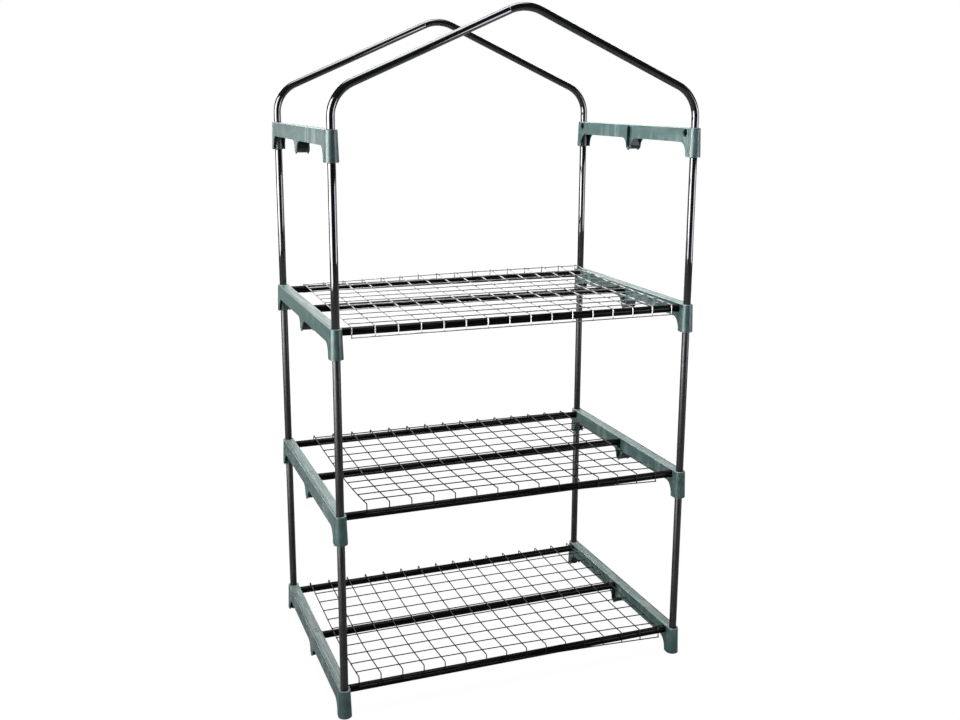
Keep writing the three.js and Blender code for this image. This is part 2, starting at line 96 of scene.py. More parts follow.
# Node trees of the finishes


class Shading:
    """A node tree, put together a node at a time."""

    def __init__(self, owner: bpy.types.Material | bpy.types.World) -> None:
        """Starts with an empty tree.

        Args:
            owner: The material or world that the tree belongs to.
        """
        owner.use_nodes = True
        self.owner = owner
        self.tree = owner.node_tree
        self.tree.nodes.clear()
        self.place = self.add("ShaderNodeTexCoord").outputs["Object"]

    def add(self, kind: str, inputs: dict | None = None, **settings: object) -> bpy.types.Node:
        """Adds a node.

        Args:
            kind: The node's type.
            inputs: Its inputs by name or number, each a plain value or another node's socket.
            **settings: The node's own properties.

        Returns:
            The new node.
        """
        node = self.tree.nodes.new(kind)
        for name, value in settings.items():
            setattr(node, name, value)
        for key, value in (inputs or {}).items():
            if isinstance(value, Socket):
                self.tree.links.new(value, node.inputs[key])
            else:
                is_colour = node.inputs[key].type == "RGBA"
                node.inputs[key].default_value = (*value, 1.0) if is_colour else value
        return node

    def stretched(self, stretch: Colour, shift: Colour = (0.0, 0.0, 0.0)) -> Socket:
        """Gives the piece's own coordinates, scaled by a stretch and moved by a shift."""
        node = self.add("ShaderNodeMapping", {"Vector": self.place, "Location": shift, "Scale": stretch})
        return node.outputs["Vector"]

    def noise(self, place: Socket, scale: float, detail: float = 4.0, roughness: float = 0.55) -> Socket:
        """Adds a cloudy noise around a half, with finer layers of some number and strength."""
        inputs = {"Vector": place, "Scale": scale, "Detail": detail, "Roughness": roughness}
        return self.add("ShaderNodeTexNoise", inputs).outputs["Fac"]

    def ranged(self, value: Socket, low: float, high: float, to_low: float = 0.0, to_high: float = 1.0) -> Socket:
        """Maps a value from the range low to high to the range to_low to to_high, and keeps it there."""
        inputs = {0: value, 1: low, 2: high, 3: to_low, 4: to_high}
        return self.add("ShaderNodeMapRange", inputs, clamp=True).outputs[0]

    def maths(self, operation: str, first: Socket | float, second: Socket | float) -> Socket:
        """Combines two values by an operation, such as MULTIPLY."""
        return self.add("ShaderNodeMath", {0: first, 1: second}, operation=operation).outputs[0]

    def blend(self, share: Socket | float, first: Socket | Colour, second: Socket | Colour) -> Socket:
        """Mixes two colours, with so large a share of the second."""
        return self.add("ShaderNodeMix", {0: share, 6: first, 7: second}, data_type="RGBA").outputs[2]

    def bump(self, height: Socket, strength: float, distance: float, under: Socket | None = None) -> Socket:
        """Turns a height into a surface normal, on top of another bump's normal if there is one under it."""
        lower = {} if under is None else {"Normal": under}
        inputs = {"Height": height, "Strength": strength, "Distance": distance, **lower}
        return self.add("ShaderNodeBump", inputs).outputs["Normal"]

    def surface(self, **inputs: object) -> bpy.types.Material:
        """Ends the tree in a principled surface.

        Args:
            **inputs: The surface's inputs, with underscores for spaces.

        Returns:
            The finished material.
        """
        named = {key.replace("_", " "): value for key, value in inputs.items()}
        shader = self.add("ShaderNodeBsdfPrincipled", named)
        self.add("ShaderNodeOutputMaterial", {"Surface": shader.outputs[0]})
        return self.owner


@dataclass(frozen=True)
class Enamel:
    """Stoved enamel on steel tube: a dark coat with orange peel, fine rubs along the tube and a little dust."""

    name: str
    colour: Colour
    worn_colour: Colour
    gloss_roughness: float
    dull_roughness: float
    peel: float
    specular: float
    coat: float = 0.0
    coat_roughness: float = 0.12
    score: float = 0.0
    grain: Colour = (1.0, 1.0, 0.05)
    dust_colour: Colour = (0.16, 0.17, 0.165)
    dust_share: float = 0.10
    rub_share: float = 0.22

    def material(self) -> bpy.types.Material:
        """Builds the enamel's material.

        Returns:
            The material.
        """
        tree = Shading(bpy.data.materials.new(self.name))
        along = tree.stretched(self.grain)
        cloud = tree.noise(tree.place, 22.0, 3.0)
        rubs = tree.noise(along, 420.0, 2.0, 0.5)
        rubbed = tree.ranged(rubs, 0.60, 0.76)
        specks = tree.ranged(tree.noise(tree.place, 700.0, 2.0), 0.70, 0.80)
        body = tree.blend(tree.ranged(cloud, 0.35, 0.68), self.colour, self.worn_colour)
        rubbed_body = tree.blend(tree.maths("MULTIPLY", rubbed, self.rub_share), body, self.dust_colour)
        dusty = tree.blend(tree.maths("MULTIPLY", specks, self.dust_share), rubbed_body, self.dust_colour)
        dullness = tree.maths("MAXIMUM", tree.ranged(cloud, 0.30, 0.72), rubbed)
        roughness = tree.ranged(dullness, 0.0, 1.0, self.gloss_roughness, self.dull_roughness)
        peel = tree.bump(tree.noise(along, 90.0, 1.0), self.peel, 0.4 * MM)
        scored = tree.bump(rubs, self.score, 0.05 * MM, peel)
        return tree.surface(
            Base_Color=dusty,
            Roughness=roughness,
            IOR=1.52,
            Specular_IOR_Level=self.specular,
            Coat_Weight=self.coat,
            Coat_Roughness=self.coat_roughness,
            Coat_IOR=1.6,
            Normal=scored,
        )


@dataclass(frozen=True)
class MouldedPlastic:
    """Injection-moulded plastic: pale streaks down the walls, partly flow marks and partly painted sheen, mottling,
    edges lightened partly by scuffs and partly by a painted highlight, a paler grey on what faces up, and painted shade
    in its hollows.
    """

    name: str
    colour: Colour
    deep_colour: Colour
    pale_flow_and_sheen_colour: Colour
    scuff_and_highlight_colour: Colour
    dust_colour: Colour
    painted_shade_colour: Colour
    roughness: float
    dull_roughness: float
    # Share of the pale streaks, which are partly flow marks and partly painted sheen
    streak_and_sheen_share: float = 0.80
    line_share: float = 0.42
    # How dark the painted shade in the moulding's hollows gets
    painted_shade_share: float = 0.94

    def material(self) -> bpy.types.Material:
        """Builds the plastic's material.

        Returns:
            The material.
        """
        tree = Shading(bpy.data.materials.new(self.name))
        flow = tree.noise(tree.stretched((1.0, 1.0, 0.14)), 52.0, 3.0, 0.55)
        long_flow = tree.noise(tree.stretched((1.0, 0.16, 1.0), (0.3, 0.1, 0.7)), 60.0, 3.0)
        mottle = tree.noise(tree.place, 26.0, 5.0, 0.6)
        facing = tree.add("ShaderNodeNewGeometry").outputs["Normal"]
        up = tree.add("ShaderNodeSeparateXYZ", {0: facing}).outputs["Z"]
        # Eased edges, lightened partly as wear and partly as a painted highlight
        edge_wear_and_highlight_mask = tree.add("ShaderNodeAttribute", attribute_name="edge_wear").outputs["Fac"]
        # Painted shade: how deep a point lies in the moulding's hollows
        hollow = tree.add("ShaderNodeAttribute", attribute_name="hollow").outputs["Fac"]

        body = tree.blend(tree.ranged(mottle, 0.32, 0.70), self.colour, self.deep_colour)
        # Pale streaks and patches: partly flow marks, partly painted sheen
        streak_and_sheen_patches = tree.ranged(tree.noise(tree.place, 11.0, 2.0), 0.46, 0.60, 0.10, 1.0)
        streaks = tree.maths("MULTIPLY", tree.ranged(flow, 0.47, 0.68, 0.0, self.streak_and_sheen_share), streak_and_sheen_patches)
        streaked = tree.blend(streaks, body, self.pale_flow_and_sheen_colour)
        clouded = tree.blend(tree.ranged(long_flow, 0.52, 0.80, 0.0, 0.30), streaked, self.pale_flow_and_sheen_colour)
        brushed = tree.noise(tree.stretched((1.0, 0.03, 1.0)), 420.0, 2.0)
        brush_marks = tree.ranged(brushed, 0.48, 0.62, 0.0, self.line_share)
        lines = tree.maths("MULTIPLY", tree.ranged(up, 0.90, 0.99), brush_marks)
        # A paler grey on faces that point up, in mottled amounts
        dust = tree.ranged(mottle, 0.25, 0.65, 0.30, 0.60)
        paler_facing_up = tree.maths("MULTIPLY", tree.ranged(up, 0.55, 0.98), dust)
        lined_and_paler_on_top = tree.blend(lines, tree.blend(paler_facing_up, clouded, self.dust_colour), self.scuff_and_highlight_colour)
        patchy = tree.ranged(tree.noise(tree.place, 160.0, 4.0), 0.38, 0.62, 0.35, 1.0)
        # Lighter edges: partly wear, partly a painted highlight, full on the inner edges
        scuffed_and_highlighted = tree.blend(tree.maths("MULTIPLY", edge_wear_and_highlight_mask, patchy), lined_and_paler_on_top, self.scuff_and_highlight_colour)
        # Painted shade in the channel, the seats, the post sockets and the moulded lines
        with_painted_shade = tree.blend(tree.maths("MULTIPLY", hollow, self.painted_shade_share), scuffed_and_highlighted, self.painted_shade_colour)

        dull = tree.maths("ADD", tree.maths("MULTIPLY", flow, 0.6), tree.maths("MULTIPLY", paler_facing_up, 0.5))
        roughness = tree.ranged(dull, 0.15, 0.75, self.roughness, self.dull_roughness)
        grain = tree.bump(tree.noise(tree.place, 1100.0, 2.0), 0.04, 0.12 * MM)
        wavy = tree.bump(flow, 0.12, 0.25 * MM, grain)
        return tree.surface(Base_Color=with_painted_shade, Roughness=roughness, IOR=1.5, Normal=wavy)


@dataclass(frozen=True)
class DrawnWire:
    """Drawn and spot-welded wire: dull metal with die lines, bright rubs and scorched welds."""

    name: str
    colour: Colour
    bright_colour: Colour
    scorch_colour: Colour
    roughness: float
    dull_roughness: float
    metallic: float = 0.92

    def material(self) -> bpy.types.Material:
        """Builds the wire's material.

        Returns:
            The material.
        """
        tree = Shading(bpy.data.materials.new(self.name))
        patina = tree.noise(tree.place, 45.0, 4.0)
        dies = tree.noise(tree.place, 900.0, 3.0, 0.7)
        weld = tree.add("ShaderNodeAttribute", attribute_name="weld").outputs["Fac"]
        body = tree.blend(tree.ranged(patina, 0.35, 0.70), self.colour, self.bright_colour)
        scorched = tree.blend(tree.maths("MULTIPLY", weld, 0.85), body, self.scorch_colour)
        dullness = tree.maths("MAXIMUM", tree.ranged(dies, 0.35, 0.70), weld)
        roughness = tree.ranged(dullness, 0.0, 1.0, self.roughness, self.dull_roughness)
        lines = tree.bump(dies, 0.25, 0.06 * MM)
        return tree.surface(
            Base_Color=scorched, Roughness=roughness, Metallic=self.metallic, IOR=1.5, Normal=lines
        )


GLOSS_ENAMEL = Enamel(
    name="gloss_enamel_tube",
    colour=(0.0028, 0.0062, 0.0058),
    worn_colour=(0.0045, 0.0105, 0.0095),
    gloss_roughness=0.05,
    dull_roughness=0.10,
    peel=0.004,
    specular=0.5,
    coat=0.8,
    coat_roughness=0.04,
)
SATIN_ENAMEL = Enamel(
    name="satin_enamel_tube",
    colour=(0.009, 0.012, 0.013),
    worn_colour=(0.017, 0.020, 0.021),
    gloss_roughness=0.34,
    dull_roughness=0.50,
    peel=0.06,
    specular=0.48,
    score=0.08,
)
RAIL_ENAMEL = Enamel(
    name="rail_enamel_tube",
    colour=(0.003, 0.0035, 0.0035),
    worn_colour=(0.008, 0.0075, 0.007),
    gloss_roughness=0.24,
    dull_roughness=0.38,
    peel=0.04,
    specular=0.05,
    coat=0.03,
    score=0.05,
    grain=(0.05, 1.0, 1.0),
)
CONNECTOR_PLASTIC = MouldedPlastic(
    name="connector_plastic_moulded",
    colour=(0.090, 0.205, 0.192),
    deep_colour=(0.062, 0.158, 0.150),
    # Colour of the pale streaks: partly flow marks, partly painted sheen
    pale_flow_and_sheen_colour=(0.400, 0.540, 0.535),
    # Pale colour of scuffs and brush lines, also used as a painted highlight on the edges
    scuff_and_highlight_colour=(0.640, 0.800, 0.770),
    # The paler grey laid on faces that point up
    dust_colour=(0.290, 0.360, 0.350),
    # Near-black colour of the painted shade in the hollows
    painted_shade_colour=(0.004, 0.014, 0.013),
    roughness=0.30,
    dull_roughness=0.50,
)
# Top shelf: the wire painted light, as a painted highlight for how light falls on it there
TOP_WIRE_PAINTED_LIT = DrawnWire(
    name="bright_mesh_wire",
    colour=(0.440, 0.440, 0.434),
    bright_colour=(0.640, 0.640, 0.632),
    scorch_colour=(0.045, 0.043, 0.040),
    roughness=0.20,
    dull_roughness=0.36,
)
# Lower shelves: the same wire painted near-black, as painted shade
LOWER_WIRE_PAINTED_SHADE = DrawnWire(
    name="dull_mesh_wire",
    colour=(0.012, 0.012, 0.012),
    bright_colour=(0.040, 0.040, 0.039),
    scorch_colour=(0.003, 0.003, 0.003),
    roughness=0.22,
    dull_roughness=0.42,
)


# Sizes that the frame gives


@dataclass(frozen=True)
class Layout:
    """Where the posts, the levels and the tubes are, read from the frame's own boxes."""

    post_x: float
    post_y: float
    tube_radius: float
    connector_height: float
    foot_half_width: float
    level_rise: dict[Level, float]

    @classmethod
    def of_frame(cls) -> "Layout":
        """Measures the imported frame.

        Returns:
            The layout.
        """
        post_low, post_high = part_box("upright_front_right_bottom")
        foot_low, foot_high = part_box("connector_left_bottom")
        rises = {level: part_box(f"connector_left_{level.value}")[0].z for level in Level}
        return cls(
            post_x=(post_low.x + post_high.x) / 2,
            post_y=-(post_low.y + post_high.y) / 2,
            tube_radius=(post_high.x - post_low.x) / 2,
            connector_height=foot_high.z - foot_low.z,
            foot_half_width=(foot_high.x - foot_low.x) / 2,
            level_rise=rises,
        )


# Mesh making that several classes share


def sweep(bm: BMesh, radius: float, sides: int, stations: Sequence[Matrix], capped: bool) -> None:
    """Runs a circle from station to station. A station's own Z axis runs along the path.

    Args:
        bm: The mesh that gets the tube.
        radius: The circle's radius.
        sides: How many sides it has.
        stations: The stations, which may also scale the circle.
        capped: Whether the ends are closed.
    """
    turns = [math.tau * side / sides for side in range(sides)]
    circle = [Vector((-radius * math.sin(turn), radius * math.cos(turn), 0.0)) for turn in turns]
    rings = [[bm.verts.new(station @ place) for place in circle] for station in stations]
    for near, far in pairwise(rings):
        for side in range(sides):
            bm.faces.new((near[side - 1], near[side], far[side], far[side - 1]))
    if capped:
        bm.faces.new(reversed(rings[0]))
        bm.faces.new(rings[-1])


def box_between(low: Sequence[float], high: Sequence[float]) -> BMesh:
    """Makes a box between two corners.

    Args:
        low: The lowest corner.
        high: The highest corner.

    Returns:
        The box.
    """
    bm = bmesh.new()
    size = [top - foot for foot, top in zip(low, high)]
    middle = [(foot + top) / 2 for foot, top in zip(low, high)]
    bmesh.ops.create_cube(bm, size=1.0, matrix=Matrix.Translation(middle) @ Matrix.Diagonal((*size, 1.0)))
    return bm


def tidy_cuts(bm: BMesh) -> None:
    """Merges the slivers and the flat faces that cutting leaves.

    Args:
        bm: The cut solid.
    """
    bmesh.ops.remove_doubles(bm, verts=bm.verts, dist=0.12 * MM)
    bmesh.ops.dissolve_degenerate(bm, edges=bm.edges, dist=0.05 * MM)
    bmesh.ops.dissolve_limit(bm, angle_limit=math.radians(0.6), verts=bm.verts, edges=bm.edges)


def drum(
    radius: float,
    centre: Sequence[float],
    depth: float,
    turn: Matrix = UPRIGHT,
    sides: int = 48,
    far_radius: float | None = None,
) -> BMesh:
    """Makes a solid cylinder or cone.

    Args:
        radius: Its radius.
        centre: Its middle.
        depth: Its length.
        turn: How it is turned from upright.
        sides: How many sides it has.
        far_radius: The radius at its far end, if that is another.

    Returns:
        The solid.
    """
    bm = bmesh.new()
    half_step = Matrix.Rotation(math.pi / sides, 4, "Z")
    bmesh.ops.create_cone(
        bm,
        cap_ends=True,
        segments=sides,
        radius1=radius,
        radius2=far_radius or radius,
        depth=depth,
        matrix=Matrix.Translation(centre) @ turn @ half_step,
    )
    return bm


def split_at(bm: BMesh, place: Sequence[float], facing: Sequence[float]) -> None:
    """Splits a solid's faces along a plane through a place."""
    bmesh.ops.bisect_plane(bm, geom=[*bm.verts, *bm.edges, *bm.faces], plane_co=place, plane_no=facing)


def round_edges(
    bm: BMesh, edges: Sequence[bmesh.types.BMEdge], radius: float, steps: int, clamp: bool = False
) -> None:
    """Rounds edges, in so many steps."""
    bmesh.ops.bevel(
        bm,
        geom=edges,
        offset=radius,
        offset_type="OFFSET",
        affect="EDGES",
        segments=steps,
        profile=0.5,
        material=-1,
        clamp_overlap=clamp,
    )


def mesh_of(bm: BMesh, name: str) -> bpy.types.Mesh:
    """Turns a bmesh into a mesh and frees it.

    Args:
        bm: The bmesh.
        name: The mesh's name.

    Returns:
        The mesh.
    """
    mesh = bpy.data.meshes.new(name)
    bm.to_mesh(mesh)
    bm.free()
    return mesh


def placed(name: str, data: bpy.types.ID) -> bpy.types.Object:
    """Makes an object and puts it in the scene.

    Args:
        name: The object's name.
        data: Its mesh, lamp or camera.

    Returns:
        The object.
    """
    obj = bpy.data.objects.new(name, data)
    bpy.context.scene.collection.objects.link(obj)
    return obj


class Carving:
    """A solid that other solids are joined to and cut from."""

    def __init__(self, bm: BMesh) -> None:
        """Starts from a closed bmesh."""
        self.block = self._object(bm)

    def _object(self, bm: BMesh) -> bpy.types.Object:
        """Puts a bmesh in the scene for a while."""
        bmesh.ops.recalc_face_normals(bm, faces=bm.faces)
        return placed("carving", mesh_of(bm, "carving"))

    def _apply(self, bm: BMesh, operation: str) -> None:
        """Joins or cuts one solid.

        Args:
            bm: The other solid.
            operation: UNION or DIFFERENCE.
        """
        tool = self._object(bm)
        modifier = self.block.modifiers.new("carve", "BOOLEAN")
        modifier.object = tool
        modifier.operation = operation
        modifier.solver = "MANIFOLD"
        bpy.context.view_layer.update()
        graph = bpy.context.evaluated_depsgraph_get()
        made = bpy.data.meshes.new_from_object(self.block.evaluated_get(graph))
        self.block.modifiers.clear()
        old = self.block.data
        self.block.data = made
        for mesh in (old, tool.data):
            bpy.data.meshes.remove(mesh)

    def join(self, bm: BMesh) -> None:
        """Joins a solid."""
        self._apply(bm, "UNION")

    def cut(self, bm: BMesh) -> None:
        """Cuts a solid away."""
        self._apply(bm, "DIFFERENCE")

    def finish(self) -> BMesh:
        """Takes the solid out of the scene.

        Returns:
            The carved solid as a bmesh.
        """
        bm = bmesh.new()
        bm.from_mesh(self.block.data)
        bpy.data.meshes.remove(self.block.data)
        return bm


@dataclass
class SubAssembly:
    """Pieces that are built alike and share a finish."""

    layout: Layout
    material: bpy.types.Material
    slot: str
    pieces: list[bpy.types.Object] = field(default_factory=list, init=False)

    def add(self, bm: BMesh, node: str, smooth_angle: float = math.radians(32)) -> bpy.types.Object:
        """Adds a piece that stands for a node of the frame.

        Args:
            bm: The piece's mesh, in place.
            node: The node that it replaces.
            smooth_angle: The angle past which an edge stays sharp.

        Returns:
            The piece's object.
        """
        obj = placed(f"finished_{node}", mesh_of(bm, node))
        obj.data.shade_smooth()
        obj.data.set_sharp_from_angle(angle=smooth_angle)
        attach(obj, self.body_of(node))
        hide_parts(node)
        self.pieces.append(obj)
        return obj

    def body_of(self, node: str) -> str:
        """Names the body that carries a node."""
        level = node.rsplit("_", 1)[-1]
        return f"shelf_{level}" if node.startswith("mesh_shelf") else "frame"

    def dress(self) -> None:
        """Gives every piece the finish."""
        for piece in self.pieces:
            piece.data.materials.clear()
            piece.data.materials.append(self.material)
            LOG.info("%s: %d faces, %s", piece.name, len(piece.data.polygons), self.material.name)


# Tubes


@dataclass
class Tubes(SubAssembly):
    """Round hollow tubes with their cut ends eased."""

    wall: float = 1.0 * MM
    end_ease: float = 0.3 * MM
    rim_angle: float = math.radians(60)
    sides: int = 40

    def add_tube(self, node: str, stations: Sequence[Matrix]) -> None:
        """Adds a tube with open ends.

        Args:
            node: The node that it replaces.
            stations: The stations that it runs through.
        """
        bm = bmesh.new()
        sweep(bm, self.layout.tube_radius, self.sides, stations, capped=False)
        bmesh.ops.recalc_face_normals(bm, faces=bm.faces)
        bmesh.ops.solidify(bm, geom=list(bm.faces), thickness=self.wall)
        rims = [edge for edge in bm.edges if edge.calc_face_angle(0.0) > self.rim_angle]
        round_edges(bm, rims, self.end_ease, 2)
        self.add(bm, node)


@dataclass
class StraightTubes(Tubes):
    """Straight tubes, upright or along X."""

    nodes: Sequence[str] = ()

    def build(self) -> None:
        """Builds each tube in its node's place."""
        for node in self.nodes:
            low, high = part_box(node)
            reach = high - low
            half = max(reach) / 2
            turn = ALONG_X if reach.x == max(reach) else UPRIGHT
            middle = Matrix.Translation((low + high) / 2) @ turn
            self.add_tube(node, [middle @ Matrix.Translation((0, 0, at)) for at in (-half, half)])


@dataclass
class RoofArches(Tubes):
    """The two roof arches, each of a plain tube and a tube with a spigot that meet beside the apex."""

    eaves_radius: float = 61 * MM
    apex_radius: float = 72 * MM
    slope: float = math.radians(24)
    end_ease: float = 0.35 * MM
    neck_length: float = 1.2 * MM
    spigot_radius: float = 5.65 * MM
    spigot_length: float = 25 * MM
    joint_gap: float = 0.3 * MM
    sides: int = 48
    eaves_steps: int = 28
    apex_steps: int = 22

    def build(self) -> None:
        """Builds the four tubes."""
        for end in End:
            for side in Side:
                node = f"arch_{end.name.lower()}_{side.name.lower()}"
                self.add_tube(node, self._stations(node, side, end))

    def _stations(self, node: str, side: Side, end: End) -> list[Matrix]:
        """Lays out one tube's path from its foot upwards.

        Args:
            node: The tube's node.
            side: The side that its leg is on.
            end: The arch that it belongs to.

        Returns:
            The stations along its path.
        """
        foot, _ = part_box(node)
        _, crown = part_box(f"arch_{end.name.lower()}_right")
        post_x = self.layout.post_x
        apex_centre = crown.z - self.layout.tube_radius - self.apex_radius
        eaves_x = post_x - self.eaves_radius
        slope_foot_x = eaves_x + self.eaves_radius * math.sin(self.slope)
        slope_head_x = self.apex_radius * math.sin(self.slope)
        slope_head_z = apex_centre + self.apex_radius * math.cos(self.slope)
        slope_foot_z = slope_head_z - (slope_foot_x - slope_head_x) * math.tan(self.slope)
        eaves_z = slope_foot_z - self.eaves_radius * math.cos(self.slope)
        steep = math.pi / 2 - self.slope

        places = [(post_x, foot.z, 0.0)]
        places += self._bend(eaves_x, eaves_z, self.eaves_radius, 0.0, steep, self.eaves_steps)
        if side is Side.RIGHT:
            places += self._bend(0.0, apex_centre, self.apex_radius, steep, 2 * self.slope, self.apex_steps)
        else:
            gap_x, gap_z = self.joint_gap * math.cos(self.slope), self.joint_gap * math.sin(self.slope)
            places.append((slope_head_x + gap_x, slope_head_z - gap_z, steep))
        y = end.value * self.layout.post_y
        stations = [self._station(side, x, y, z, turned) for x, z, turned in places]
        if side is Side.RIGHT:
            shrink = Matrix.Scale(self.spigot_radius / self.layout.tube_radius, 4)
            mouth = stations[-1]
            for reach in (self.neck_length, self.neck_length + self.spigot_length):
                stations.append(mouth @ Matrix.Translation((0, 0, reach)) @ shrink)
        return stations

    def _bend(
        self, centre_x: float, centre_z: float, radius: float, start: float, sweep_angle: float, steps: int
    ) -> list[tuple[float, float, float]]:
        """Lists the places round a bend, each with how far the path has turned there."""
        turns = [start + sweep_angle * step / steps for step in range(steps + 1)]
        return [(centre_x + radius * math.cos(turn), centre_z + radius * math.sin(turn), turn) for turn in turns]

    def _station(self, side: Side, x: float, y: float, z: float, turned: float) -> Matrix:
        """Places a station that has turned so far from upright, towards the middle."""
        return Matrix.Translation((side.value * x, y, z)) @ Matrix.Rotation(-side.value * turned, 4, "Y")


# Side connectors


@dataclass
class SideConnectors(SubAssembly):
    """The side connectors: one moulding, an open channel with a post socket at each end and seats for the rails."""

    draft: float = 1.7 * MM
    wall: float = 2.0 * MM
    web: float = 1.8 * MM
    wall_recess: float = 0.6 * MM
    top_round: float = 1.1 * MM
    side_depth: float = 26 * MM
    haunch_length: float = 20 * MM
    haunch_foot: float = 1 * MM
    haunch_inset: float = 10 * MM
    tab_shoulder: float = 7.5 * MM
    tab_tip: float = 2 * MM
    socket_radius: float = 9.2 * MM
    seat_radius: float = 7.35 * MM
    seat_wall: float = 2.15 * MM
    seat_roof: float = 1.9 * MM
    seat_partition: float = 0.8 * MM
    socket_depth: float = 22 * MM
    rail_stop: float = 4.5 * MM
    spare_seat_rise: float = 13.8 * MM
    nub_rise: float = 27 * MM
    nub_height: float = 5 * MM
    nub_reach: float = 1.3 * MM
    rim_width: float = 1.7 * MM
    rim_height: float = 0.9 * MM
    haunch_steps: int = 14
    edge_round: float = 0.45 * MM
    edge_angle: float = math.radians(28)
    # How much the outer edges get of the wear and painted highlight; the inner edges get all of it
    outer_wear_and_highlight: float = 0.2
    # How much painted shade the hollows get: at the channel's mouth, deep under its roof, in the moulded lines and in
    # the post sockets
    mouth_painted_shade: float = 0.62
    roof_painted_shade: float = 1.38
    line_painted_shade: float = 0.85
    socket_painted_shade: float = 0.9
    line_depth: float = 0.55 * MM
    line_width: float = 1.3 * MM
    line_inset: float = 2.9 * MM
    line_end_gap: float = 21 * MM
    cross_lines: tuple[float, ...] = (1.5 * MM, 10.0 * MM)
    end_sides: int = 64
    overrun: float = 3 * MM

    def build(self) -> None:
        """Builds the moulding once and places it at each level on both sides."""
        for side in Side:
            moulding = self._moulding(side)
            for level in Level:
                bm = moulding.copy()
                turn = Matrix.Rotation(math.pi if side is Side.RIGHT else 0.0, 4, "Z")
                place = Matrix.Translation((side.value * self.layout.post_x, 0, self.layout.level_rise[level]))
                bmesh.ops.transform(bm, matrix=place @ turn, verts=bm.verts)
                node = f"connector_{side.name.lower()}_{level.value}"
                obj = self.add(bm, node, math.radians(40))
                obj.modifiers.new("even_normals", "WEIGHTED_NORMAL").keep_sharp = True
            moulding.free()

    @property
    def height(self) -> float:
        """The connector's height."""
        return self.layout.connector_height

    @property
    def rail_rise(self) -> float:
        """How high the rails' axes lie above the foot."""
        return self.height - self.seat_roof - self.seat_radius

    @property
    def outer_rail_y(self) -> float:
        """How far the outer rails' axes lie from the middle."""
        return self.layout.post_y - 2 * self.seat_radius - self.seat_partition

    def half_width(self, rise: float) -> float:
        """Gives half the connector's width at a height: its sides lean outwards towards the foot."""
        return self.layout.foot_half_width - self.draft * rise / self.height

    def _leaning_block(self, inset: float, low: Sequence[float], high: Sequence[float]) -> BMesh:
        """Makes a block whose sides follow the connector's leaning sides.

        Args:
            inset: How far its sides are set in.
            low: The Y and Z of its lowest corner.
            high: The Y and Z of its highest corner.

        Returns:
            The block.
        """
        bm = box_between((-1.0, *low), (1.0, *high))
        for vert in bm.verts:
            vert.co.x *= self.half_width(vert.co.z) - inset
        return bm

    def _outer_body(self) -> Carving:
        """Makes the solid body: walls set back a little from two round ends, with its top edge rounded.

        Returns:
            The body.
        """
        post_y = self.layout.post_y
        foot, top = self.half_width(0.0), self.half_width(self.height)
        carving = Carving(self._leaning_block(self.wall_recess, (-post_y, 0.0), (post_y, self.height)))
        for end in End:
            middle = (0, end.value * post_y, self.height / 2)
            carving.join(drum(foot, middle, self.height, sides=self.end_sides, far_radius=top))
        bm = carving.finish()
        tidy_cuts(bm)
        rim = [edge for edge in bm.edges if all(vert.co.z > self.height - 0.01 * MM for vert in edge.verts)]
        round_edges(bm, rim, self.top_round, 4)
        return Carving(bm)

    def _moulding(self, side: Side) -> BMesh:
        """Carves the moulding.

        Args:
            side: The side that it goes to, which sets where the lines across its web lie.

        Returns:
            The moulding, with its foot at height zero and the greenhouse towards +X.
        """
        carving = self._outer_body()
        post_y = self.layout.post_y
        roof = self.height - self.web
        carving.cut(self._leaning_block(self.wall_recess + self.wall, (-post_y, -self.overrun), (post_y, roof)))
        self._open_under_walls(carving)
        self._add_sleeve_and_bosses(carving)
        self._bore_seats(carving)
        self._score_lines(carving, side)
        return self._ease(carving.finish())

    def _open_under_walls(self, carving: Carving) -> None:
        """Cuts the haunches, the flares beside the tab and the tab's point out of the walls.

        Args:
            carving: The connector so far.
        """
        reach = self.half_width(0.0) + self.overrun
        edge = self.height - self.side_depth
        tab_half = self.seat_radius + self.seat_wall
        haunch_end = self.layout.post_y - self.haunch_inset
        middle = (tab_half + haunch_end) / 2
        for end in End:
            corners = (
                (haunch_end, edge - self.haunch_foot, self.haunch_length / (edge - self.haunch_foot)),
                (tab_half, edge - self.tab_shoulder, 1.0),
            )
            for outer, radius, stretch in corners:
                side_y = end.value * outer
                near, far = sorted((end.value * middle, side_y))
                bm = box_between((-reach, near, -self.overrun - edge), (reach, far, edge))
                corner = {vert for vert in bm.verts if abs(vert.co.z - edge) + abs(vert.co.y - side_y) < SAME}
                round_edges(bm, [line for line in bm.edges if corner.issuperset(line.verts)], radius, self.haunch_steps)
                for vert in bm.verts:
                    inward = vert.co.y - side_y
                    if SAME < abs(inward) < radius + SAME:
                        vert.co.y = side_y + inward * stretch
                carving.cut(bm)
        point_y = tab_half + self.overrun
        bm = box_between((-reach, -point_y, -self.overrun), (reach, point_y, self.tab_shoulder))
        split_at(bm, (0, 0, 0), (0, 1, 0))
        for vert in bm.verts:
            if vert.co.z > 0 and abs(vert.co.y) < SAME:
                vert.co.z = self.tab_tip
            elif vert.co.z > 0:
                vert.co.z += (self.tab_shoulder - self.tab_tip) * self.overrun / tab_half
        carving.cut(bm)

